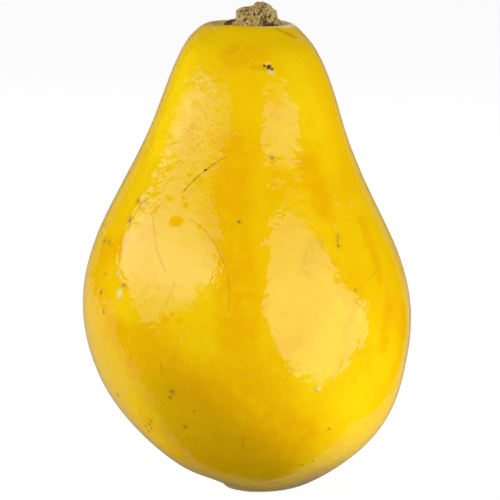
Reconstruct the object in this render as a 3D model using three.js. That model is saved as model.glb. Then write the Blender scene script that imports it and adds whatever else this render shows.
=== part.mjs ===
// A ripe yellow papaya of the small pear-shaped kind, as picked, standing on the blossom end.
// It is two solids: the whole fruit, and the stub of fruit stalk left in the hollow at its top.
// Millimetres, +Z up. The origin is on the resting spot, under the middle of the bounding box,
// and -Y is the front, where the swelling of the blossom end shows.
import * as THREE from "three";
import { NURBSCurve } from "three/addons/curves/NURBSCurve.js";

// Driving dimensions
const FRUIT_HEIGHT = 144; // resting spot to the shoulder around the stalk
const BELLY_RADIUS = 51.5; // of the outline's widest control point
const DEPTH = 0.98; // front-to-back radius as a share of the side-to-side radius
const NECK_SWELL = 0.015; // added to that share where the neck meets the belly
const NECK_LEAN = 3.6; // of the top of the neck, away from the front
const FOOT_RADIUS = 9.5; // flat resting spot
const FOOT_SHIFT = 2.2; // the resting spot lies a little right of the middle
const STALK_SHIFT = 1.6; // so does the stalk
const STALK_HEIGHT = 9.6; // from the floor of the hollow to the broken top
const STALK_RADIUS = 7.2; // of the stalk above its flared foot
const STALK_LEAN = 0.6; // of its top towards the right
const STALK_GAP = 0.3; // between the stalk and the floor of the hollow
const HOLLOW_DEPTH = 4; // shoulder down to the floor of the hollow
const HOLLOW_RADIUS = 10.5; // at the rim
const SHOULDER_SLOPE = 0.075; // of the shoulder, down towards the front and a little right
const SHOULDER_TURN = THREE.MathUtils.degToRad(-55); // where it is lowest

// Mesh steps
const FRUIT_SIDES = 80;
const FRUIT_RINGS = 60;
const STALK_SIDES = 36;
const STALK_RINGS = 16;

const LOBES = 5; // a papaya grows from five carpels, which show as shallow lobes
const LOBE_TURN = THREE.MathUtils.degToRad(-70); // the lobe at the front, a little right
const LOBE_MIDDLE = 0.004; // depth of the lobes as a share of the radius, on the belly
const LOBE_ENDS = 0.03; // and at the blossom end

// The notch, where the left lobe stops short of the resting spot
const NOTCH_TURN = THREE.MathUtils.degToRad(-160);
const NOTCH_SPREAD = THREE.MathUtils.degToRad(60);
const NOTCH_RADIUS = 11.5; // from the middle of the resting spot
const NOTCH_INNER = 2.8; // it is steep towards the spot
const NOTCH_OUTER = 16; // and dies out slowly towards the side
const NOTCH_RISE = 2.3;

const HOLLOW_SHARE = 1 - HOLLOW_DEPTH / FRUIT_HEIGHT;
const FOOT_SHARE = FOOT_RADIUS / BELLY_RADIUS;

// Control points of the fruit's outline, from the hollow's floor over the shoulder and down to the
// resting spot: radius and height as shares of the belly's radius and the fruit's height, and the
// sideways shift of that ring's middle in millimetres.
const FRUIT_OUTLINE = [
  [0.0, HOLLOW_SHARE, STALK_SHIFT],
  [0.1, HOLLOW_SHARE, STALK_SHIFT],
  [0.178, 0.972, 1.5],
  [0.194, 0.987, 1.2],
  [0.218, 1.0, 0.7],
  [0.27, 1.0, 0.1],
  [0.355, 0.967, -0.1],
  [0.445, 0.906, 0.0],
  [0.52, 0.832, -0.1],
  [0.598, 0.744, -1.0],
  [0.73, 0.648, -1.8],
  [0.865, 0.557, -1.9],
  [0.96, 0.462, -1.3],
  [0.99, 0.366, -0.7],
  [0.94, 0.27, 0.0],
  [0.845, 0.18, 1.4],
  [0.66, 0.098, 3.1],
  [0.45, 0.041, 3.2],
  [0.32, 0.016, 3.0],
  [0.24, 0.002, 2.6],
  [FOOT_SHARE, 0, FOOT_SHIFT],
  [0.8 * FOOT_SHARE, 0, FOOT_SHIFT],
];

// Control points of the stalk's outline, from its foot to the broken top: radius and height as
// shares of the stalk's radius and height.
const STALK_OUTLINE = [
  [0.0, 0.0],
  [0.5, 0.0],
  [0.9, 0.01],
  [1.12, 0.14],
  [1.02, 0.28],
  [0.9, 0.42],
  [0.87, 0.6],
  [0.7, 0.78],
  [0.4, 0.93],
  [0.15, 1.01],
  [0.0, 1.0],
];

// A smooth curve of third degree that starts and ends on its first and last control points.
function smoothCurve(points) {
  const degree = 3;
  const spans = points.length - degree;
  const inner = Array.from({ length: spans - 1 }, (_, i) => (i + 1) / spans);
  const ends = (value) => new Array(degree + 1).fill(value);
  const weighted = points.map(([x, y, z = 0]) => new THREE.Vector4(x, y, z, 1));
  return new NURBSCurve(degree, [...ends(0), ...inner, ...ends(1)], weighted);
}

// A closed solid through rings of points, with one point at each end. Rings run from the top down.
function solidFromRings(first, rings, last) {
  const sides = rings[0].length;
  const points = [first, ...rings.flat(), last];
  const at = (ring, side) => 1 + ring * sides + (side % sides);
  const faces = [];
  for (let side = 0; side < sides; side++) {
    faces.push(0, at(0, side), at(0, side + 1));
    for (let ring = 0; ring + 1 < rings.length; ring++) {
      const [a, b] = [at(ring, side), at(ring, side + 1)];
      const [c, d] = [at(ring + 1, side), at(ring + 1, side + 1)];
      faces.push(a, c, b, b, c, d);
    }
    const end = rings.length - 1;
    faces.push(at(end, side), points.length - 1, at(end, side + 1));
  }
  const geometry = new THREE.BufferGeometry().setFromPoints(points);
  geometry.setIndex(faces);
  geometry.computeVertexNormals();
  return geometry;
}

// 1 at the middle of a bump, falling smoothly to 0 one width away.
function bump(distance, width) {
  const share = Math.min(1, Math.abs(distance) / width);
  return (1 + Math.cos(Math.PI * share)) / 2;
}

// The turn from one angle to another, between -PI and PI.
function turnBetween(angle, other) {
  return THREE.MathUtils.euclideanModulo(angle - other + Math.PI, 2 * Math.PI) - Math.PI;
}

// How far the surface lifts at the notch on the left of the blossom end.
function notchLift(radius, angle) {
  const around = bump(turnBetween(angle, NOTCH_TURN), NOTCH_SPREAD);
  const outward = radius - NOTCH_RADIUS;
  return NOTCH_RISE * around * bump(outward, outward < 0 ? NOTCH_INNER : NOTCH_OUTER);
}

// How far the fruit's middle line leans back at a share of its height.
function leanBack(share) {
  return NECK_LEAN * THREE.MathUtils.smoothstep(share, 0.74, 1.05);
}

// Depth of the lobes as a share of the radius: none on the flat spot and in the hollow.
function lobeDepth(radius, share) {
  const { lerp, smoothstep } = THREE.MathUtils;
  const fromHollow = smoothstep(radius, HOLLOW_RADIUS, 1.5 * HOLLOW_RADIUS);
  const fromSpot = smoothstep(radius, FOOT_RADIUS, 1.5 * FOOT_RADIUS);
  const fade = share > 0.5 ? fromHollow : fromSpot;
  return fade * lerp(LOBE_ENDS, LOBE_MIDDLE, smoothstep(share, 0, 0.3));
}

// How far the shoulder drops. The floor of the hollow stays level.
function shoulderDrop(reach, share, angle) {
  const { smoothstep } = THREE.MathUtils;
  const fade = smoothstep(share, 0.93, 1) * smoothstep(reach, 0.8 * HOLLOW_RADIUS, 1.15 * HOLLOW_RADIUS);
  return fade * SHOULDER_SLOPE * reach * (0.8 + Math.cos(angle - SHOULDER_TURN));
}

function fruitPoint(ring, angle) {
  const radius = ring.x * BELLY_RADIUS;
  const share = ring.y;
  const reach = radius * (1 + lobeDepth(radius, share) * Math.cos(LOBES * (angle - LOBE_TURN)));
  const change = share < 0.5 ? notchLift(radius, angle) : -shoulderDrop(reach, share, angle);
  const depth = reach * (DEPTH + NECK_SWELL * bump(share - 0.64, 0.14));
  return new THREE.Vector3(
    ring.z + reach * Math.cos(angle),
    leanBack(share) + depth * Math.sin(angle),
    share * FRUIT_HEIGHT + change,
  );
}

function makeFruit() {
  const outline = smoothCurve(FRUIT_OUTLINE).getPoints(FRUIT_RINGS);
  const rings = outline.slice(1).map((ring) =>
    Array.from({ length: FRUIT_SIDES }, (_, i) => fruitPoint(ring, (2 * Math.PI * i) / FRUIT_SIDES)),
  );
  const top = new THREE.Vector3(STALK_SHIFT, leanBack(HOLLOW_SHARE), FRUIT_HEIGHT - HOLLOW_DEPTH);
  const bottom = new THREE.Vector3(FOOT_SHIFT, 0, 0);
  const skin = new THREE.MeshStandardMaterial({ color: 0xf4bf08, roughness: 0.25, metalness: 0 });
  const mesh = new THREE.Mesh(solidFromRings(top, rings, bottom), skin);
  mesh.name = "fruit";
  return mesh;
}

// The stalk is a broken woody stub: ridged round its side, flared at the left of its foot, and
// higher at the right of its top.
function stalkPoint(ring, angle) {
  const ridges = 0.05 * Math.cos(3 * angle + 0.6) + 0.05 * Math.cos(7 * angle + 2);
  const flare = 0.12 * (1 - ring.y) * bump(turnBetween(angle, Math.PI), Math.PI / 2);
  const radius = ring.x * STALK_RADIUS * (1 + ridges + flare);
  const slope = 0.08 * ring.y * ring.x * Math.cos(angle + 0.4);
  const height = (ring.y + slope) * STALK_HEIGHT;
  const lean = STALK_LEAN * ring.y;
  return new THREE.Vector3(lean + radius * Math.cos(angle), radius * Math.sin(angle), height);
}

function makeStalk() {
  const outline = smoothCurve(STALK_OUTLINE).getPoints(STALK_RINGS);
  const rings = outline.slice(1, -1).map((ring) =>
    Array.from({ length: STALK_SIDES }, (_, i) => stalkPoint(ring, (2 * Math.PI * i) / STALK_SIDES)),
  );
  const [foot, top] = [new THREE.Vector3(0, 0, 0), new THREE.Vector3(STALK_LEAN, 0, STALK_HEIGHT)];
  const bark = new THREE.MeshStandardMaterial({ color: 0x9c8350, roughness: 0.9, metalness: 0 });
  const mesh = new THREE.Mesh(solidFromRings(top, rings.reverse(), foot), bark);
  mesh.position.set(STALK_SHIFT, leanBack(HOLLOW_SHARE), FRUIT_HEIGHT - HOLLOW_DEPTH + STALK_GAP);
  mesh.name = "stem_stub";
  return mesh;
}

const papaya = new THREE.Group();
papaya.add(makeFruit(), makeStalk());

// Moves the middle of the bounding box over the origin.
const box = new THREE.Box3().setFromObject(papaya, true);
const middle = box.getCenter(new THREE.Vector3());
papaya.position.set(-middle.x, -middle.y, -box.min.z);

export default papaya;
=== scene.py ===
"""A ripe yellow papaya standing on its blossom end, dressed for the render around the CAD frame.

Metres, +Z up, -Y the front. The skin and the stalk are fine meshes made from their CAD solids, with
relief worked out point by point and procedural materials. The lists of places on the skin are in
millimetres.
"""
import math

import bmesh
import bpy
import numpy as np
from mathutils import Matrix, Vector, noise
from mathutils.bvhtree import BVHTree


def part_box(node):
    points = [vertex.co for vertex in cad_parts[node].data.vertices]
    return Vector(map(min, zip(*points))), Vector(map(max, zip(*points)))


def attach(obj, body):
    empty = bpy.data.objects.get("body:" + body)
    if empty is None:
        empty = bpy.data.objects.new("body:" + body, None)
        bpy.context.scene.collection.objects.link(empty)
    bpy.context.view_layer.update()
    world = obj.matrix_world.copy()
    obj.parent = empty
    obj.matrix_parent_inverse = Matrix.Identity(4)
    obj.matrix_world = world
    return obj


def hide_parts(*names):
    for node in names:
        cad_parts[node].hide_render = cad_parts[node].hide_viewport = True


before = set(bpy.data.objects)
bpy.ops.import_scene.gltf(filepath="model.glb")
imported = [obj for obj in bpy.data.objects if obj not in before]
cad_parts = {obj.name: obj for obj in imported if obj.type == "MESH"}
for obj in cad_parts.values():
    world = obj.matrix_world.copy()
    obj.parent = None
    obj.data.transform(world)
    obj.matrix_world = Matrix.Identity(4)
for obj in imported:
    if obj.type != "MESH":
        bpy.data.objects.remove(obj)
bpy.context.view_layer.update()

MM = 0.001
FRUIT_MIDDLE = Vector((0, 0, 75)) * MM

# ------------------------------------------------------------ camera, light and floor

CAMERA_ELEVATION = math.radians(6)
CAMERA_DISTANCE = 1.5
CAMERA_AIM = Vector((0.9, 0.0, 73.4)) * MM
VIEW_WIDTH = 153 * MM  # seen across the picture at the fruit
SENSOR = 36.0

# Outlines of the softboxes as seen from the fruit: azimuth and elevation in degrees
LEFT_SOFTBOX = [(-26, 43), (-19, 34), (-20, 25), (-27, 15), (-35, 3), (-50, -3), (-70, -9), (-87, 7),
                (-110, 16), (-114, 22), (-106, 30), (-90, 35), (-60, 45), (-40, 46.5)]
RIGHT_SOFTBOX = [(20, 42), (15, 26), (9, 2), (16, -15), (32, -27), (46, -32), (68, -28), (83, -19),
                 (91, -12), (95, 3), (86, 8), (71, 21), (70, 30), (63, 38), (45, 43)]
LEFT_FACING = (-62, 15)  # towards the nearest point of each softbox's plane
RIGHT_FACING = (52, 5)
LEFT_RADIANCE = 2.7
RIGHT_RADIANCE = 1.9

# Where a light is dimmer: between two heights, or two reaches from the fruit, in metres, and the
# shares of its radiance there
LEFT_FADES = [("Z", 0.12, 0.42, 0.35, 1.0), ("Z", 0.55, 0.9, 1.0, 0.2)]
RIGHT_FADES = [("Z", 0.45, 0.8, 1.0, 0.7)]
TABLE_FADES = [("Reach", 0.02, 0.12, 0.7, 1.0)]

# The part of the table that the gloss shows, in millimetres: its front edge bends round the fruit
TABLE = [(-2000, 440), (-194, 5), (-110, -30), (-67, -34), (-20, -17), (28, -19), (59, -10), (85, 33),
         (145, 156), (1300, 1900), (1300, 3000), (-2000, 3000)]
TABLE_RADIANCE = 0.3
UNDER_RADIANCE = 0.5  # of the table all round, which the gloss doesn't show
WALL_RADIANCE = 0.16
ROOM_RADIANCE = 0.2

# The floor seen by the camera: distances from the middle and heights in metres
FLOOR_PROFILE = [(0.0, 0.0), (2.4, 0.0), (2.8, 0.06), (3.1, 0.25), (3.3, 0.6), (3.4, 1.1), (3.4, 2.6)]
FLOOR_TURNS = 64
FLOOR_GREY = 0.25
FLOOR_GLOW = 0.9

# Fills that light the skin but don't show in its gloss: name, radiance, and corners in metres
FILLS = [
    ("right_fill", 2.9,
     [(0.9, -0.9, -0.3), (0.9, -0.1, -0.3), (0.9, -0.1, 0.7), (0.9, -0.9, 0.7)]),
    ("left_fill", 2.0,
     [(-0.9, -0.6, 0.0), (-0.9, 0.2, 0.0), (-0.9, 0.2, 0.6), (-0.9, -0.6, 0.6)]),
    ("left_back_fill", 4.0,
     [(-0.9, 0.3, -0.3), (-0.9, 1.1, -0.3), (-0.9, 1.1, 0.7), (-0.9, 0.3, 0.7)]),
    ("right_back_fill", 1.7,
     [(0.9, 0.1, -0.5), (0.9, 1.0, -0.5), (0.9, 1.0, 0.7), (0.9, 0.1, 0.7)]),
    ("near_right_floor", 1.5,
     [(0.03, -0.05, 0), (0.13, -0.05, 0), (0.13, 0.12, 0), (0.03, 0.12, 0)]),
    ("near_left_floor", 1.2,
     [(-0.13, -0.04, 0), (-0.03, -0.04, 0), (-0.03, 0.12, 0), (-0.13, 0.12, 0)]),
    ("right_floor", 1.1,
     [(0.03, -0.3, -MM / 2), (0.9, -0.5, -MM / 2), (0.9, 1, -MM / 2), (0.03, 1, -MM / 2)]),
    ("left_floor", 1.0,
     [(-0.9, -0.3, -MM / 2), (-0.03, 0, -MM / 2), (-0.03, 1, -MM / 2), (-0.9, 1, -MM / 2)]),
    ("front_fill", 0.8,
     [(-0.9, -1.7, 0.0), (0.9, -1.7, 0.0), (0.9, -1.7, 1.1), (-0.9, -1.7, 1.1)]),
]


def make_camera():
    back = Vector((0, -math.cos(CAMERA_ELEVATION), math.sin(CAMERA_ELEVATION)))
    data = bpy.data.cameras.new("camera")
    data.sensor_width = SENSOR
    data.lens = SENSOR * CAMERA_DISTANCE / VIEW_WIDTH
    camera = bpy.data.objects.new("camera", data)
    camera.location = CAMERA_AIM + back * CAMERA_DISTANCE
    camera.rotation_euler = back.to_track_quat("Z", "Y").to_euler()
    bpy.context.collection.objects.link(camera)
    bpy.context.scene.camera = camera


def direction(azimuth, elevation):
    """The unit vector towards an azimuth and elevation in degrees: azimuth 0 is the front, 90 the right."""
    turn, rise = math.radians(azimuth), math.radians(elevation)
    level = math.cos(rise)
    return Vector((math.sin(turn) * level, -math.cos(turn) * level, math.sin(rise)))


def faded_strength(nodes, links, radiance, fades):
    """A light's radiance, dimmed by its fades."""
    place = nodes.new("ShaderNodeTexCoord")
    height = nodes.new("ShaderNodeSeparateXYZ")
    links.new(place.outputs["Object"], height.inputs[0])
    reach = nodes.new("ShaderNodeVectorMath")
    reach.operation = "LENGTH"
    links.new(place.outputs["Object"], reach.inputs[0])
    measures = {"Z": height.outputs["Z"], "Reach": reach.outputs["Value"]}
    strength = nodes.new("ShaderNodeValue")
    strength.outputs[0].default_value = radiance
    last = strength.outputs[0]
    for measure, low, high, share_low, share_high in fades:
        fade = nodes.new("ShaderNodeMapRange")
        links.new(measures[measure], fade.inputs["Value"])
        fade.inputs["From Min"].default_value = low
        fade.inputs["From Max"].default_value = high
        fade.inputs["To Min"].default_value = share_low
        fade.inputs["To Max"].default_value = share_high
        product = nodes.new("ShaderNodeMath")
        product.operation = "MULTIPLY"
        links.new(last, product.inputs[0])
        links.new(fade.outputs["Result"], product.inputs[1])
        last = product.outputs[0]
    return last


def glow_material(name, radiance, fades):
    """Light from the front of a face only: its back is clear."""
    material = bpy.data.materials.new(name)
    material.use_nodes = True
    nodes, links = material.node_tree.nodes, material.node_tree.links
    nodes.clear()
    glow = nodes.new("ShaderNodeEmission")
    links.new(faded_strength(nodes, links, radiance, fades), glow.inputs["Strength"])
    clear = nodes.new("ShaderNodeBsdfTransparent")
    side = nodes.new("ShaderNodeNewGeometry")
    mix = nodes.new("ShaderNodeMixShader")
    out = nodes.new("ShaderNodeOutputMaterial")
    links.new(side.outputs["Backfacing"], mix.inputs["Fac"])
    links.new(glow.outputs[0], mix.inputs[1])
    links.new(clear.outputs[0], mix.inputs[2])
    links.new(mix.outputs[0], out.inputs["Surface"])
    return material


def make_light_face(name, points, radiance, fades=(), mirrored=True):
    """A flat, soft light with this outline. The camera doesn't see it and it casts no shadow."""
    mesh = bpy.data.meshes.new(name)
    mesh.from_pydata(points, [], [tuple(range(len(points)))])
    if mesh.polygons[0].normal.dot(FRUIT_MIDDLE - mesh.polygons[0].center) < 0:
        mesh.flip_normals()
    mesh.materials.append(glow_material(name, radiance, fades))
    face = bpy.data.objects.new(name, mesh)
    face.visible_camera = False
    face.visible_shadow = False
    face.visible_glossy = mirrored
    bpy.context.collection.objects.link(face)


def make_softbox(name, facing, outline, radiance, fades):
    """A softbox a metre away whose corners are seen from the fruit in the outline's directions."""
    middle = direction(*facing)
    corners = [direction(*corner) for corner in outline]
    points = [FRUIT_MIDDLE + corner / corner.dot(middle) for corner in corners]
    make_light_face(name, points, radiance, fades)


def make_lights():
    """The softboxes, the table, the wall behind it and the fills."""
    make_softbox("left_softbox", LEFT_FACING, LEFT_SOFTBOX, LEFT_RADIANCE, LEFT_FADES)
    make_softbox("right_softbox", RIGHT_FACING, RIGHT_SOFTBOX, RIGHT_RADIANCE, RIGHT_FADES)
    make_light_face("white_table", [(x * MM, y * MM, 0) for x, y in TABLE], TABLE_RADIANCE, TABLE_FADES)
    side, back, front, top = 2.2, 3.0, -0.8, 2.8
    dark = [(-side, front, -MM), (side, front, -MM), (side, back, -MM), (-side, back, -MM)]
    make_light_face("dark_table", dark, UNDER_RADIANCE, mirrored=False)
    wall = [(side, back, 0), (side, back, top), (-side, back, top), (-side, back, 0)]
    make_light_face("white_wall", wall, WALL_RADIANCE)
    for name, radiance, corners in FILLS:
        make_light_face(name, corners, radiance, mirrored=False)


def make_room_light():
    """An even white light from all round, which the gloss doesn't show."""
    world = bpy.data.worlds.new("studio")
    world.use_nodes = True
    world.cycles_visibility.glossy = False
    background = world.node_tree.nodes["Background"]
    background.inputs["Color"].default_value = (1, 1, 1, 1)
    background.inputs["Strength"].default_value = ROOM_RADIANCE
    bpy.context.scene.world = world


def floor_material():
    material = bpy.data.materials.new("floor")
    material.use_nodes = True
    shader = material.node_tree.nodes["Principled BSDF"]
    shader.inputs["Base Color"].default_value = (FLOOR_GREY, FLOOR_GREY, FLOOR_GREY, 1)
    shader.inputs["Roughness"].default_value = 0.9
    shader.inputs["Specular IOR Level"].default_value = 0.0
    shader.inputs["Emission Color"].default_value = (1, 1, 1, 1)
    shader.inputs["Emission Strength"].default_value = FLOOR_GLOW
    return material


def make_floor():
    """A pale floor that curves up into a wall all round, far from the fruit."""
    points, faces = [], []
    for radius, height in FLOOR_PROFILE:
        for i in range(FLOOR_TURNS):
            turn = 2 * math.pi * i / FLOOR_TURNS
            points.append((radius * math.cos(turn), radius * math.sin(turn), height))
    for ring in range(len(FLOOR_PROFILE) - 1):
        for i in range(FLOOR_TURNS):
            j = (i + 1) % FLOOR_TURNS
            inner, outer = ring * FLOOR_TURNS, (ring + 1) * FLOOR_TURNS
            faces.append((inner + i, inner + j, outer + j, outer + i))
    mesh = bpy.data.meshes.new("floor")
    mesh.from_pydata(points, [], faces)
    mesh.validate()
    mesh.shade_smooth()
    mesh.materials.append(floor_material())
    floor = bpy.data.objects.new("floor", mesh)
    bpy.context.collection.objects.link(floor)
    floor.visible_glossy = False
    floor.visible_diffuse = False


# ------------------------------------------------------------ meshes


def fine_piece(name, node, levels):
    """A finer, smooth copy of a CAD node's mesh: its triangles joined to quads and subdivided."""
    work = bmesh.new()
    work.from_mesh(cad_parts[node].data)
    bmesh.ops.remove_doubles(work, verts=work.verts, dist=0.001 * MM)
    wide = math.pi
    bmesh.ops.join_triangles(work, faces=work.faces, angle_face_threshold=wide, angle_shape_threshold=wide)
    coarse = bpy.data.meshes.new(name)
    work.to_mesh(coarse)
    work.free()
    piece = bpy.data.objects.new(name, coarse)
    bpy.context.collection.objects.link(piece)
    subdivision = piece.modifiers.new("fine", "SUBSURF")
    subdivision.levels = levels
    subdivision.render_levels = levels
    depsgraph = bpy.context.evaluated_depsgraph_get()
    piece.data = bpy.data.meshes.new_from_object(piece.evaluated_get(depsgraph))
    piece.modifiers.clear()
    piece.data.name = name
    bpy.data.meshes.remove(coarse)
    piece.data.shade_smooth()
    return piece


def points_of(mesh):
    """The mesh's points in millimetres."""
    flat = np.empty(3 * len(mesh.vertices))
    mesh.vertices.foreach_get("co", flat)
    return flat.reshape(-1, 3) / MM


def normals_of(mesh):
    flat = np.empty(3 * len(mesh.vertices))
    mesh.vertex_normals.foreach_get("vector", flat)
    return flat.reshape(-1, 3)


def set_points(mesh, points):
    mesh.vertices.foreach_set("co", (points * MM).ravel())
    mesh.update()


def ripple(points, size, shift=0.0):
    """Smooth noise of about -1 to 1 at each point, with lumps of this size in millimetres."""
    return np.array([noise.noise(Vector(p) / size + Vector((shift, 0, 0))) for p in points])


def bump(distance, width):
    """1 at the middle, falling smoothly to 0 one width away."""
    return 0.5 + 0.5 * np.cos(np.pi * np.clip(np.abs(distance) / width, 0, 1))


def smooth_step(value, low, high):
    share = np.clip((value - low) / (high - low), 0, 1)
    return share * share * (3 - 2 * share)


def map_round(mesh):
    """A map that wraps round the Z axis, with one seam at the back, for baked textures."""
    margin, cap = 0.02, 0.12  # shares of the map: beside the seam, and for each end's narrowing
    points = points_of(mesh)
    turn = np.arctan2(points[:, 0], -points[:, 1]) / (2 * np.pi) + 0.5
    low, high = points[:, 2].min(), points[:, 2].max()
    reach = np.hypot(points[:, 0], points[:, 1]) / np.ptp(points[:, 0])
    rise = (points[:, 2] - low) / (high - low)
    inward = np.where(rise > 0.5, 0.5 - reach, reach - 0.5)
    rise = cap + (1 - 2 * cap) * rise + 2 * cap * inward
    corners = np.empty(len(mesh.loops), int)
    mesh.loops.foreach_get("vertex_index", corners)
    firsts = np.empty(len(mesh.polygons), int)
    mesh.polygons.foreach_get("loop_start", firsts)
    counts = np.empty(len(mesh.polygons), int)
    mesh.polygons.foreach_get("loop_total", counts)
    first_turn = np.repeat(turn[corners[firsts]], counts)
    u = turn[corners]
    u = np.where(u - first_turn > 0.5, u - 1, np.where(u - first_turn < -0.5, u + 1, u))
    uv = np.column_stack([margin + (1 - 2 * margin) * u, np.clip(rise[corners], 0, 1)])
    layer = mesh.uv_layers.new(name="OFBake")
    layer.data.foreach_set("uv", uv.ravel())


# ------------------------------------------------------------ materials


class Graph:
    """Builds one material's nodes. A value is a number, a colour, or another node's output."""

    def __init__(self, name):
        self.material = bpy.data.materials.new(name)
        self.material.use_nodes = True
        self.tree = self.material.node_tree
        self.shader = self.tree.nodes["Principled BSDF"]
        self.place = self.add("ShaderNodeTexCoord").outputs["Object"]

    def add(self, kind, values=(), **settings):
        node = self.tree.nodes.new(kind)
        for name, value in settings.items():
            setattr(node, name, value)
        for socket, value in dict(values).items():
            self.feed(node.inputs[socket], value)
        return node

    def feed(self, socket, value):
        if isinstance(value, bpy.types.NodeSocket):
            self.tree.links.new(value, socket)
        elif socket.type == "RGBA" and len(value) == 3:
            socket.default_value = (*value, 1)
        else:
            socket.default_value = value

    def math(self, operation, a, b=0.0):
        return self.add("ShaderNodeMath", {0: a, 1: b}, operation=operation).outputs[0]

    def vector(self, operation, a, b=(0, 0, 0)):
        node = self.add("ShaderNodeVectorMath", {0: a, 1: b}, operation=operation)
        return node.outputs["Value" if operation in ("DISTANCE", "DOT_PRODUCT") else "Vector"]

    def scale(self, a, factor):
        return self.add("ShaderNodeVectorMath", {0: a, "Scale": factor}, operation="SCALE").outputs[0]

    def noise(self, size, detail=2.0, rough=0.5, place=None, colour=False):
        """Noise with lumps of this size in millimetres."""
        values = {"Vector": place or self.place, "Scale": 1 / (size * MM)}
        values.update({"Detail": detail, "Roughness": rough})
        return self.add("ShaderNodeTexNoise", values).outputs["Color" if colour else "Fac"]

    def cells(self, size, place):
        """Cells of this size in millimetres: the distance from each one's middle, and a value for each."""
        node = self.add("ShaderNodeTexVoronoi", {"Vector": place, "Scale": 1 / (size * MM)})
        chance = self.add("ShaderNodeSeparateColor", {0: node.outputs["Color"]})
        return node.outputs["Distance"], chance.outputs

    def along(self, axis, place=None):
        return self.add("ShaderNodeSeparateXYZ", {0: place or self.place}).outputs[axis]

    def painted(self, name):
        """A value painted on the mesh's points."""
        return self.add("ShaderNodeAttribute", attribute_name=name).outputs["Fac"]

    def combed(self, angle, stretch):
        """The place, stretched along a line on the front at this angle above the horizontal."""
        turned = self.add("ShaderNodeVectorRotate", {"Vector": self.place, "Angle": math.radians(angle)},
                          rotation_type="Y_AXIS").outputs[0]
        return self.vector("MULTIPLY", turned, (1 / stretch, 1, 1))

    def sum(self, *values):
        total = values[0]
        for value in values[1:]:
            total = self.math("ADD", total, value)
        return total

    def times(self, *values):
        product = values[0]
        for value in values[1:]:
            product = self.math("MULTIPLY", product, value)
        return product

    def warped(self, amount, size):
        """The place, pushed about by noise: amount and size in millimetres."""
        push = self.vector("SUBTRACT", self.noise(size, colour=True), (0.5, 0.5, 0.5))
        return self.vector("ADD", self.place, self.scale(push, 2 * amount * MM))

    def step(self, value, low, high, out_low=0.0, out_high=1.0):
        """A smooth step from one value to another. Low may be above high."""
        swap = low > high
        ends = (high, low) if swap else (low, high)
        results = (out_high, out_low) if swap else (out_low, out_high)
        values = {"Value": value, "From Min": ends[0], "From Max": ends[1]}
        values.update({"To Min": results[0], "To Max": results[1]})
        node = self.add("ShaderNodeMapRange", values, interpolation_type="SMOOTHSTEP")
        return node.outputs["Result"]

    def mix(self, share, a, b):
        node = self.add("ShaderNodeMix", data_type="RGBA")
        self.feed(node.inputs["Factor"], share)
        self.feed(node.inputs[6], a)
        self.feed(node.inputs[7], b)
        return node.outputs[2]

    def spot(self, place, point, radius, soft):
        """1 within a radius of a point, fading over the soft share of it. Radius in millimetres."""
        reach = self.vector("DISTANCE", place, tuple(point))
        return self.step(reach, radius * MM * (1 + soft), radius * MM * (1 - soft))

    def stroke(self, place, start, end, width):
        """1 along the line between two points, fading out to its width in millimetres."""
        along = end - start
        away = self.vector("SUBTRACT", place, tuple(start))
        travel = self.vector("DOT_PRODUCT", away, tuple(along / along.length_squared))
        travel = self.math("MAXIMUM", self.math("MINIMUM", travel, 1.0), 0.0)
        reach = self.vector("DISTANCE", away, self.scale(tuple(along), travel))
        return self.step(reach, width * MM, 0.2 * width * MM)

    def largest(self, masks):
        result = masks[0]
        for mask in masks[1:]:
            result = self.math("MAXIMUM", result, mask)
        return result


# ------------------------------------------------------------ skin

YELLOW = (0.925, 0.575, 0.002)
LEMON = (0.95, 0.66, 0.004)
ORANGE = (0.89, 0.46, 0.001)
GREENISH = (0.72, 0.52, 0.004)
OLIVE = (0.45, 0.31, 0.012)
# Dark brown and near black: painted shade deep in the hollow and on the stalk; near black is also the
# holes' own colour
SHADED_BROWN = (0.10, 0.055, 0.015)
HOLE_AND_SHADE_BLACK = (0.02, 0.012, 0.008)
RUSSET = (0.22, 0.15, 0.05)
# Pale drop marks, partly painted highlights, and a painted highlight on the ridge
PALE_DROP_AND_HIGHLIGHT = (0.93, 0.74, 0.22)
# A darker amber for painted shade low on the fruit
SHADED_AMBER = (0.56, 0.30, 0.002)
PIT = (0.27, 0.16, 0.012)
# Painted shade along the creases
CREASE_SHADE = (0.60, 0.35, 0.01)
STAIN = (0.50, 0.27, 0.008)
CORK = (0.80, 0.60, 0.26)
CORK_PALE = (0.95, 0.80, 0.46)
# Pale: the skin's own pale marks, and painted glints
PALE_MARK_AND_GLINT = (0.84, 0.67, 0.31)

# Slow waves of the skin: rise and size in millimetres, and a shift that sets their noise apart
WAVES = [(0.16, 26, 0.0), (0.05, 11, 5.0), (0.018, 5, 9.0)]
RIM_DROP = 0.9  # of the hollow's rim at the left and the back, in millimetres
AREA_WANDER = 2.0  # how far noise pushes the edges of the painted areas, in millimetres

# The dry hollow round the stalk: where skin turns to cork and cork turns to painted shade over dark brown,
# from the hollow's axis, the heights between which it begins, and how far right of the stub's middle its
# axis is
HOLLOW_EDGE = (12.4 * MM, 11.4 * MM)
DARK_EDGE = (9.0 * MM, 8.2 * MM)
HOLLOW_HEIGHTS = (120 * MM, 130 * MM)
HOLLOW_SHIFT = 0.6 * MM

# Low dents and rises of the skin: place across and up on the front, radius and rise
RISES = [
    (-31.6, 90.5, 2.4, -0.25), (6.6, 130.6, 2.0, -0.6), (21.2, 36.1, 2.2, 0.12),
    (24.4, 46.4, 4.0, -0.08), (7.5, 104.6, 2.0, -0.12), (-15.0, 99.0, 3.0, -0.06),
]

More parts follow.
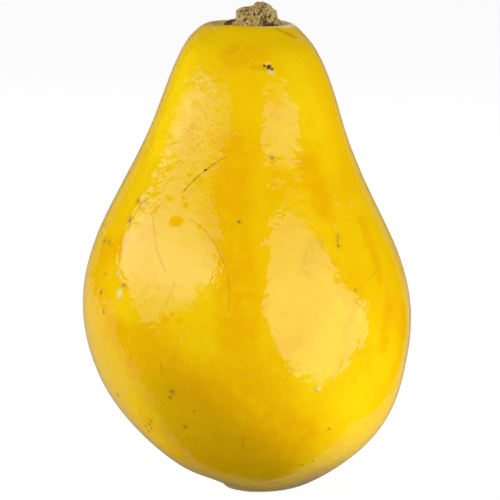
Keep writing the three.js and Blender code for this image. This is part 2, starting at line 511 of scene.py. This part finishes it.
# Soft areas painted on the front, by kind: the places across and up of both ends, and radius
AREAS = {
    "orange": [
        (2.1, 134.3, -3.0, 134.0, 4.5), (-4.0, 108.0, -5.0, 76.0, 6.0), (-2.0, 76.0, -2.0, 52.0, 6.5),
        (35.0, 84.0, 40.0, 68.0, 2.8), (-43.0, 74.0, -38.0, 78.0, 4.0),
        (-30.0, 48.0, -10.0, 34.0, 7.0), (17.0, 104.0, 24.0, 88.0, 3.5),
        (-4.0, 34.0, 12.0, 20.0, 12.0), (43.0, 60.0, 41.0, 48.0, 3.0), (-40.0, 54.0, -34.0, 42.0, 4.0),
    ],
    "lemon": [
        (38.0, 44.0, 26.0, 24.0, 10.0), (30.0, 60.0, 20.0, 40.0, 6.0),
        (-20.0, 132.0, -24.0, 108.0, 7.0), (14.0, 130.0, 20.0, 114.0, 5.0),
        (-22.0, 46.0, -14.0, 48.0, 5.0), (-38.0, 62.0, -36.0, 58.0, 4.0),
    ],
    # Painted shade: darker amber low on the front, where the foot gets little light
    "painted_shade": [
        (-20.0, 30.0, -4.0, 14.0, 13.0), (-8.0, 14.0, 4.0, 9.0, 9.0),
    ],
    "olive": [
        (-31.8, 90.9, -31.6, 90.3, 2.6), (18.4, 73.0, 19.8, 78.5, 3.0), (-8.4, 20.8, -8.0, 20.4, 2.2),
        (-36.8, 66.4, -36.8, 66.4, 1.4), (-43.0, 77.8, -41.5, 77.4, 1.3),
        (27.2, 81.0, 27.2, 79.0, 1.3), (-4.5, 136.3, -4.0, 136.3, 1.5), (2.6, 131.3, 6.0, 130.6, 1.3),
        (-17.0, 94.6, -14.8, 97.4, 1.1), (-42.5, 69.0, -42.5, 68.4, 0.9),
        (-44.0, 63.4, -43.2, 57.2, 0.8), (-35.4, 85.4, -35.0, 84.8, 1.3),
        (11.4, 59.9, 11.9, 59.7, 1.2),
    ],
    "frost": [
        (-25.0, 112.0, -14.0, 132.0, 7.0), (8.5, 127.0, 8.5, 122.0, 3.5),
        (13.0, 99.0, 18.0, 86.0, 5.0), (-24.0, 56.0, -18.0, 57.0, 3.0), (-4.0, 13.0, 6.0, 12.0, 4.0),
        (-34.0, 34.0, -26.0, 24.0, 4.0), (16.0, 46.0, 24.0, 40.0, 4.0), (-12.0, 52.0, -4.0, 54.0, 5.0),
    ],
    "combed": [
        (-22.0, 106.0, -36.0, 80.0, 5.0), (17.0, 92.0, 28.0, 70.0, 5.0),
        (15.0, 107.0, 20.0, 106.0, 4.0), (10.0, 48.0, 16.0, 40.0, 4.0), (30.0, 66.0, 36.0, 60.0, 4.0),
        (-12.0, 100.0, -10.0, 88.0, 2.5),
    ],
    "beads": [
        (-7.0, 126.0, -9.0, 108.0, 3.5), (-13.0, 122.0, -15.0, 108.0, 3.5),
    ],
    "folds": [
        (8.0, 127.0, 10.0, 121.0, 3.0),
    ],
    # Where the painted glints are thickest
    "painted_glints": [
        (-22.0, 26.0, -14.0, 19.0, 2.5), (-27.0, 54.0, -15.0, 50.0, 4.0),
        (-35.0, 34.0, -24.0, 20.0, 4.0), (10.0, 44.0, 24.0, 38.0, 4.0), (-6.0, 13.0, 5.0, 12.0, 3.5),
        (-8.0, 118.0, -6.0, 112.0, 4.0), (-28.0, 104.0, -20.0, 128.0, 4.0),
        (6.0, 122.0, 20.0, 112.0, 4.0), (-38.0, 62.0, -42.0, 56.0, 3.0),
    ],
    "film": [
        (-27.0, 106.0, -17.0, 131.0, 4.5), (-12.0, 133.0, -8.0, 130.0, 3.0),
        (12.0, 98.0, 19.0, 86.0, 4.0), (14.0, 98.0, 24.0, 78.0, 3.0), (-22.0, 57.0, -12.0, 60.0, 3.5),
        (-14.0, 66.0, -10.0, 58.0, 3.0), (6.0, 129.0, 9.0, 121.0, 2.5),
        (-32.0, 30.0, -22.0, 14.0, 5.0),
    ],
}

# Round marks on the front, by kind: place across and up, and radius
MARKS = {
    "hole": [
        (6.6, 130.9, 0.8), (7.4, 130.3, 0.5), (5.2, 131.2, 0.35), (-12.3, 100.8, 0.32),
    ],
    "dark": [
        (16.3, 10.8, 0.3), (19.8, 11.9, 0.3), (-15.6, 29.2, 0.25),
        (-36.8, 66.0, 0.45), (-42.5, 68.7, 0.3), (-44.0, 63.1, 0.4), (-43.1, 57.4, 0.35),
        (32.6, 65.1, 0.35), (-43.3, 77.8, 0.55), (-41.7, 77.6, 0.45), (-22.4, 34.9, 0.55),
        (-23.0, 32.9, 0.4), (-28.9, 24.5, 0.3), (-29.7, 20.7, 0.4), (-30.6, 22.4, 0.3),
        (-28.8, 21.8, 0.25), (-29.4, 23.4, 0.3), (-18.6, 23.6, 0.4), (-39.1, 31.4, 0.35),
        (-35.2, 85.1, 0.55), (24.6, 22.9, 0.35), (-2.4, 86.1, 0.35), (7.5, 104.6, 0.45),
        (27.2, 78.2, 0.35), (-32.8, 90.9, 0.45), (-30.6, 90.8, 0.3),
    ],
    # Pale drop marks on the skin, some of them painted highlights on small rises
    "drop": [
        (21.4, 36.1, 0.8), (20.7, 36.2, 0.5), (-38.3, 63.9, 1.1), (-38.1, 63.1, 1.1),
        (-38.7, 69.8, 0.8),
    ],
    "pale": [
        (-31.2, 89.8, 0.9), (6.9, 129.5, 0.9), (7.9, 128.9, 0.6), (26.7, 92.4, 0.3),
        (27.6, 90.1, 0.35), (31.6, 89.1, 0.4), (26.6, 84.0, 0.35), (-34.9, 85.5, 0.4),
    ],
    "dull": [
        (-18.4, 95.2, 0.8), (-17.7, 96.4, 0.6), (-17.2, 99.2, 0.8), (-21.6, 85.9, 1.7),
        (-20.6, 85.8, 1.6), (-18.4, 90.5, 1.0), (-18.9, 92.4, 0.7), (-14.1, 84.6, 0.8),
        (-12.6, 83.6, 0.7), (-24.3, 57.0, 1.4), (-22.0, 58.6, 0.8), (-20.0, 57.0, 1.1),
    ],
}

# Lines on the front, by kind: width, then the places it passes through
LINES = {
    "ridge": [
        (0.9, (1.8, 3.5), (8.5, 5.2), (16.1, 7.0)),
    ],
    "scratch": [
        (0.3, (-18.9, 94.4), (-15.5, 98.1), (-12.3, 100.8), (-6.3, 104.9)),
    ],
    "crease": [
        (0.5, (-28.1, 86.6), (-26.9, 77.3), (-24.1, 70.8)),
        (0.45, (-21.4, 68.0), (-24.4, 61.4)),
        (0.4, (-17.0, 86.9), (-12.5, 83.6), (-8.9, 79.1), (-6.2, 73.4), (-5.3, 67.9), (-5.3, 60.6)),
        (0.3, (36.0, 67.3), (39.7, 70.5)),
        (0.3, (32.3, 61.9), (35.6, 59.2)),
        (0.25, (30.0, 55.5), (33.5, 60.0)),
    ],
    "streak": [
        (0.4, (-1.2, 21.0), (-1.2, 17.4)),
        (0.5, (-8.5, 4.6), (-4.0, 2.8), (1.0, 2.2)),
        (0.8, (8.8, 141.6), (11.5, 140.4)),
        (1.2, (11.5, 140.4), (14.5, 139.0)),
        (0.4, (-25.5, 44.1), (-25.5, 40.4)),
        (0.6, (27.2, 81.6), (27.0, 79.6)),
    ],
}


def skin_relief(mesh, on_skin):
    """Slow waves, low dents and rises, and a rim that is lower at the left and the back."""
    points, normals = points_of(mesh), normals_of(mesh)
    rise = sum(height * ripple(points, size, shift) for height, size, shift in WAVES)
    for x, z, radius, height in RISES:
        reach = np.linalg.norm(points - np.array(on_skin(x, z)) / MM, axis=1)
        rise += height * bump(reach, radius)
    rise *= smooth_step(points[:, 2], 0.0, 2.5)
    points += normals * rise[:, None]
    left = smooth_step(-points[:, 0] + 0.5 * points[:, 1], 0.0, 10.0)
    points[:, 2] -= RIM_DROP * left * smooth_step(points[:, 2], 137.0, 144.0)
    set_points(mesh, points)


def paint(mesh, name, values):
    layer = mesh.attributes.new(name, "FLOAT", "POINT")
    layer.data.foreach_set("value", values)


def reach_from(points, start, end):
    """How far each point is from the line between two places, which may be the same place."""
    start, end = np.array(start) / MM, np.array(end) / MM
    along = end - start
    share = np.clip((points - start) @ along / max(along @ along, 1e-9), 0, 1)
    return np.linalg.norm(points - start - share[:, None] * along, axis=1)


def paint_areas(mesh, on_skin):
    """One painted value for each kind of area, 1 in its middle and fading across its edge."""
    points = points_of(mesh)
    push = np.column_stack([ripple(points, 5, 20.0), ripple(points, 5, 30.0), ripple(points, 5, 40.0)])
    points = points + AREA_WANDER * push
    for name, areas in AREAS.items():
        mask = np.zeros(len(points))
        for x, z, end_x, end_z, radius in areas:
            reach = reach_from(points, on_skin(x, z), on_skin(end_x, end_z))
            mask = np.maximum(mask, 1 - smooth_step(reach, 0.4 * radius, 1.6 * radius))
        paint(mesh, name, mask)


def skin_ground(g):
    """Yellow drifting to lemon and orange, greener at the top, darker towards the foot in painted shade,
    and mottled.
    """
    height = g.along("Z")
    blotches = g.noise(15, 3, 0.6, g.warped(2.5, 7.0))
    patchy = g.step(g.noise(4.0, 3, 0.6, g.warped(1.0, 3.0)), 0.3, 0.6, 0.35, 0.95)
    colour = g.mix(g.step(g.noise(34, 2), 0.44, 0.66, 0.0, 0.5), YELLOW, LEMON)
    colour = g.mix(g.times(g.painted("lemon"), 0.8), colour, LEMON)
    colour = g.mix(g.times(g.step(blotches, 0.48, 0.68), 0.5), colour, ORANGE)
    colour = g.mix(g.times(g.painted("orange"), patchy), colour, ORANGE)
    colour = g.mix(g.step(height, 122 * MM, 143 * MM, 0.0, 0.3), colour, GREENISH)
    # Painted shade: darker amber towards the foot, and more in the painted-shade areas low on the front
    colour = g.mix(g.step(height, 30 * MM, 2 * MM, 0.0, 0.2), colour, SHADED_AMBER)
    colour = g.mix(g.times(g.painted("painted_shade"), 0.5), colour, SHADED_AMBER)
    return g.mix(g.step(g.noise(0.7, 3, 0.7), 0.3, 0.75, 0.0, 0.22), colour, ORANGE)


def skin_spread(g, colour, wavy):
    """Marks scattered without a chosen place: pores everywhere, nicks and orange clouds at the back."""
    behind = g.step(g.along("Y"), -5 * MM, 15 * MM)
    reach, chance = g.cells(11, wavy)
    nick = g.times(g.step(reach, 0.07, 0.03), g.step(chance[2], 0.5, 0.6), behind)
    colour = g.mix(g.times(nick, 0.8), colour, PIT)
    cloud = g.times(g.step(g.noise(9, 3, 0.6, g.warped(2.0, 6.0)), 0.5, 0.68), behind, 0.6)
    colour = g.mix(cloud, colour, ORANGE)
    reach, chance = g.cells(2.6, wavy)
    pore = g.times(g.step(reach, 0.13, 0.05), g.step(chance[0], 0.8, 0.95))
    return g.mix(g.times(pore, 0.45), colour, OLIVE)


def skin_marks(g, colour, spots, strokes):
    """Marks of growth and handling at their places on the front, and painted shade and highlights."""
    cloudy = g.step(g.noise(1.6, 3, 0.6), 0.2, 0.75)
    smudged = g.warped(0.6, 1.6)
    broken = g.step(g.noise(1.0, 2), 0.3, 0.55)
    colour = g.mix(g.times(g.painted("olive"), cloudy, 0.36), colour, OLIVE)
    colour = g.mix(g.times(strokes("streak"), 0.6), colour, STAIN)
    # Painted shade: the creases are darker along their lines
    colour = g.mix(g.times(strokes("crease"), 0.6), colour, CREASE_SHADE)
    # Painted highlight along the crest of the ridge at the foot
    colour = g.mix(g.times(strokes("ridge"), 0.35), colour, PALE_DROP_AND_HIGHLIGHT)
    colour = g.mix(g.times(spots("dull", g.warped(0.8, 1.5), 0.2), 0.7), colour, ORANGE)
    colour = g.mix(g.times(spots("pale"), 0.8), colour, PALE_MARK_AND_GLINT)
    colour = g.mix(g.times(spots("dark", smudged, 0.9, 2.2), 0.5), colour, OLIVE)
    colour = g.mix(g.times(spots("dark", smudged, 0.8), 0.8), colour, PIT)
    colour = g.mix(g.times(strokes("scratch"), broken, 0.75), colour, RUSSET)
    # Pale drop marks, partly painted highlights
    return g.mix(g.times(spots("drop"), 0.8), colour, PALE_DROP_AND_HIGHLIGHT)


def skin_glints(g, colour, wavy):
    """Painted glints: small pale flecks that stand in for glints of tiny bumps, in drifts and where
    painted.
    """
    reach, chance = g.cells(1.1, wavy)
    glint = g.times(g.step(reach, 0.3, 0.12), g.step(chance[1], 0.72, 0.85))
    often = g.math("MAXIMUM", g.step(g.noise(14, 1), 0.5, 0.65, 0.0, 0.4), g.painted("painted_glints"))
    return g.mix(g.times(glint, often, 0.65), colour, PALE_MARK_AND_GLINT)


def skin_colour(g, spots, strokes, wavy):
    """The whole skin's colour outside the hollow."""
    colour = skin_spread(g, skin_ground(g), wavy)
    colour = skin_marks(g, colour, spots, strokes)
    return g.mix(spots("hole"), skin_glints(g, colour, wavy), HOLE_AND_SHADE_BLACK)


def skin_height(g, spots, strokes, beads):
    """Relief too fine for the mesh, in millimetres."""
    frost = g.painted("frost")
    rough = g.sum(g.step(g.noise(24, 2), 0.4, 0.6, 0.13, 0.27), g.times(frost, 0.03))
    waves = g.sum(g.times(g.noise(6.5, 1), 0.045), g.times(g.noise(3.2, 2, 0.4), rough))
    waves = g.sum(waves, g.times(g.noise(1.2, 1), 0.02))
    combed = g.times(g.noise(0.7, 1, 0.5, g.combed(32, 5)), g.painted("combed"), 0.05)
    frosted = g.times(g.noise(0.45, 2), g.sum(g.times(frost, 0.02), 0.001))
    folds = g.noise(1.3, 2, 0.5, g.vector("MULTIPLY", g.warped(1.0, 3.0), (0.6, 1, 1.4)))
    folds = g.times(folds, g.painted("folds"), 0.12)
    lines = [g.times(strokes("scratch"), 0.4), g.times(strokes("crease"), 0.05)]
    pits = [spots("hole"), g.times(spots("dark"), 0.35), g.times(beads, 0.18)]
    sunk = g.times(g.largest(lines + pits), 0.22)
    raised = g.sum(g.times(spots("drop"), 0.35), g.times(strokes("ridge"), 0.25))
    return g.math("SUBTRACT", g.sum(waves, combed, frosted, folds, raised), sunk)


def hollow_mask(g, across, wavy):
    """The hollow round the stalk: near its axis and high up."""
    high = g.step(g.along("Z", wavy), *HOLLOW_HEIGHTS)
    return g.times(g.step(across, *HOLLOW_EDGE), high)


def cork_colour(g, across):
    """The hollow is dry: pale at its rim; nearer the stalk, dark brown and near black in painted shade."""
    deep_shade = g.mix(g.noise(0.8, 3), HOLE_AND_SHADE_BLACK, SHADED_BROWN)
    return g.mix(g.step(across, *DARK_EDGE), g.mix(g.noise(0.9, 4, 0.7), CORK, CORK_PALE), deep_shade)


def bead_mask(g):
    """Small round droplet marks of many sizes, where they are painted."""
    reach, chance = g.cells(1.3, g.warped(0.35, 1.0))
    bead = g.step(g.math("DIVIDE", reach, g.step(chance[0], 0.0, 1.0, 0.2, 0.46)), 1.0, 0.7)
    return g.times(bead, g.step(g.painted("beads"), 0.15, 0.5))


def mask_makers(g, on_skin, wavy):
    """Two functions, which give the mask of one kind of round mark and of one kind of line."""

    def spots(kind, place=wavy, soft=0.5, grow=1.0):
        places = [(on_skin(x, z), grow * radius) for x, z, radius in MARKS[kind]]
        return g.largest([g.spot(place, point, radius, soft) for point, radius in places])

    def strokes(kind):
        masks = []
        for width, *places in LINES[kind]:
            stops = [on_skin(x, z) for x, z in places]
            masks += [g.stroke(wavy, a, b, width) for a, b in zip(stops, stops[1:])]
        return g.largest(masks)

    return spots, strokes


def dull_mask(g, spots, hollow, beads):
    """Where the wax coat is thin or missing: dull patches, scars, droplet marks, film and the hollow."""
    film = g.times(g.painted("film"), g.step(g.noise(0.8, 3, 0.7), 0.35, 0.6, 0.45, 1.0))
    marks = [spots("dull", g.warped(0.8, 1.5), 0.2), spots("hole"), g.times(spots("pale"), 0.6)]
    return g.largest(marks + [hollow, g.times(beads, 0.9), g.times(film, 0.85)])


def skin_material(on_skin):
    """Matt skin under a thin, glossy coat of wax."""
    g = Graph("papaya_skin")
    wavy = g.warped(0.3, 1.2)
    spots, strokes = mask_makers(g, on_skin, wavy)
    low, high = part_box("stem_stub")
    axis = ((low.x + high.x) / 2 + HOLLOW_SHIFT, (low.y + high.y) / 2, 0)
    across = g.vector("DISTANCE", g.vector("MULTIPLY", wavy, (1, 1, 0)), axis)
    hollow = hollow_mask(g, across, wavy)
    colour = g.mix(hollow, skin_colour(g, spots, strokes, wavy), cork_colour(g, across))
    g.feed(g.shader.inputs["Base Color"], colour)
    beads = bead_mask(g)
    g.feed(g.shader.inputs["Coat Weight"], g.step(dull_mask(g, spots, hollow, beads), 0.0, 1.0, 1.0, 0.0))
    height = skin_height(g, spots, strokes, beads)
    lumps = g.add("ShaderNodeBump", {"Height": height, "Distance": MM, "Strength": 1.0}).outputs[0]
    g.feed(g.shader.inputs["Normal"], lumps)
    g.feed(g.shader.inputs["Coat Normal"], lumps)
    g.shader.inputs["Roughness"].default_value = 0.5
    g.shader.inputs["Specular IOR Level"].default_value = 0.0
    g.shader.inputs["Coat Roughness"].default_value = 0.03
    return g.material


def make_fruit():
    fruit = fine_piece("skin", "fruit", 2)
    tree = BVHTree.FromObject(fruit, bpy.context.evaluated_depsgraph_get())

    def on_skin(x, z):
        """The point in metres on the front of the skin, at a place across and up in millimetres."""
        return tree.ray_cast(Vector((x * MM, -1, z * MM)), Vector((0, 1, 0)))[0]

    paint_areas(fruit.data, on_skin)
    skin_relief(fruit.data, on_skin)
    map_round(fruit.data)
    fruit.data.materials.append(skin_material(on_skin))
    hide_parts("fruit")
    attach(fruit, "root")


# ------------------------------------------------------------ stalk

BARK = (0.47, 0.33, 0.10)
BARK_PALE = (0.70, 0.54, 0.24)
BARK_DARK = (0.15, 0.055, 0.012)
BARK_YELLOW = (0.46, 0.31, 0.02)


def taper_stalk(points, middle, across, depth, share):
    """Thinner and lower towards the top, lowest at the top's left, and leaning a little to the right."""
    inward = 1 - 0.09 * smooth_step(share, 0.15, 0.4) - 0.06 * smooth_step(share, 0.6, 1.0)
    points[:, 0] = middle[0] + 0.8 * share + across * inward
    points[:, 1] = middle[1] + depth * inward
    points[:, 2] -= 0.9 * smooth_step(share, 0.6, 1.0)
    points[:, 2] -= 0.5 * smooth_step(share, 0.5, 0.95) * smooth_step(-across, 0.3, 1.6)


def stalk_crevices(points):
    """Wandering, broken lines: 1 along their middles."""
    grain = points * (1, 1, 0.7)
    crevice = 1 - smooth_step(np.abs(ripple(grain, 3.2, 8.0) + 0.7 * ripple(grain, 1.0, 3.0)), 0.0, 0.16)
    return crevice * smooth_step(ripple(points, 2.6, 15.0), -0.25, 0.2)


def stalk_rise(points, turn, share, lumps, crevice):
    """Lumps, fibres, crevices and grit, with a flange low at the left and a block above it."""
    wood = np.column_stack([3.5 * np.cos(turn), 3.5 * np.sin(turn), 0.3 * points[:, 2]])
    fibres = ripple(wood, 1.0, 2.0)
    block = 0.6 * bump(share - 0.66, 0.26) * bump(np.abs(turn) - np.pi, 1.3)
    flange = 1.5 * bump(np.abs(turn) - np.pi, 0.8) * bump(share - 0.2, 0.2)
    grit = 0.3 * ripple(points, 0.75, 6.0) + 0.22 * ripple(points, 0.4, 11.0)
    rise = lumps + 0.22 * fibres - 0.55 * crevice + flange + block + grit
    return rise * smooth_step(share, 0.02, 0.2)


def stalk_shade(turn, share, lumps, crevice):
    """The stub's painted shade: most in crevices and dips, round its foot, and low at the left and right.
    """
    foot = 1 - smooth_step(share, 0.08, 0.3)
    left = bump(np.abs(turn) - np.pi, 1.0) * (1 - smooth_step(share, 0.3, 0.5))
    right = bump(turn + 0.9, 0.8) * (1 - smooth_step(share, 0.2, 0.42))
    dips = smooth_step(-lumps, 0.12, 0.5)
    shade = np.maximum.reduce([0.9 * crevice, 0.8 * dips, foot, left, right])
    return np.clip(shade, 0, 1)


def stalk_relief(mesh):
    """A lumpy broken stub. Its shade at each point is painted on it."""
    points, normals = points_of(mesh), normals_of(mesh)
    low, high = points[:, 2].min(), points[:, 2].max()
    share = (points[:, 2] - low) / (high - low)
    middle = (points.max(0) + points.min(0)) / 2
    across = points[:, 0] - middle[0]
    depth = points[:, 1] - middle[1]
    taper_stalk(points, middle, across, depth, share)
    turn = np.arctan2(depth, across)
    lumps = 0.75 * ripple(points, 3.8, 1.0) + 0.4 * ripple(points, 1.5, 4.0)
    crevice = stalk_crevices(points)
    points += normals * stalk_rise(points, turn, share, lumps, crevice)[:, None]
    set_points(mesh, points)
    paint(mesh, "shade", stalk_shade(turn, share, lumps, crevice))


def stalk_material():
    """Dry, fibrous bark, darkened where painted shade is put on the mesh."""
    g = Graph("dry_stalk")
    fibre = g.noise(0.6, 4, 0.65, g.vector("MULTIPLY", g.place, (1, 1, 0.3)))
    flake = g.noise(1.1, 4, 0.7, g.warped(0.6, 1.0))
    colour = g.mix(g.step(flake, 0.38, 0.6), BARK, BARK_PALE)
    yellow = g.step(g.noise(2.2, 3, 0.6, g.warped(1.0, 1.5)), 0.52, 0.64, 0.0, 0.8)
    colour = g.mix(yellow, colour, BARK_YELLOW)
    colour = g.mix(g.step(fibre, 0.5, 0.38, 0.0, 0.85), colour, BARK_DARK)
    # Painted shade from the mesh, broken up by the flakes' random tone, darkens the bark
    shade = g.sum(g.painted("shade"), g.times(g.math("SUBTRACT", 0.5, flake), 1.2))
    colour = g.mix(g.step(shade, 0.35, 0.75), colour, g.mix(flake, BARK_DARK, SHADED_BROWN))
    g.feed(g.shader.inputs["Base Color"], colour)
    relief = g.sum(g.times(fibre, 0.4), g.times(flake, 0.35), g.times(g.noise(0.3, 3, 0.7), 0.1))
    lumps = g.add("ShaderNodeBump", {"Height": relief, "Distance": MM, "Strength": 1.0})
    g.feed(g.shader.inputs["Normal"], lumps.outputs[0])
    g.shader.inputs["Roughness"].default_value = 0.85
    g.shader.inputs["Specular IOR Level"].default_value = 0.3
    return g.material


def make_stalk():
    stalk = fine_piece("stalk", "stem_stub", 3)
    stalk_relief(stalk.data)
    map_round(stalk.data)
    stalk.data.materials.append(stalk_material())
    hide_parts("stem_stub")
    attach(stalk, "root")


make_camera()
make_lights()
make_room_light()
make_floor()
make_fruit()
make_stalk()
bpy.context.scene.view_settings.view_transform = "Standard"
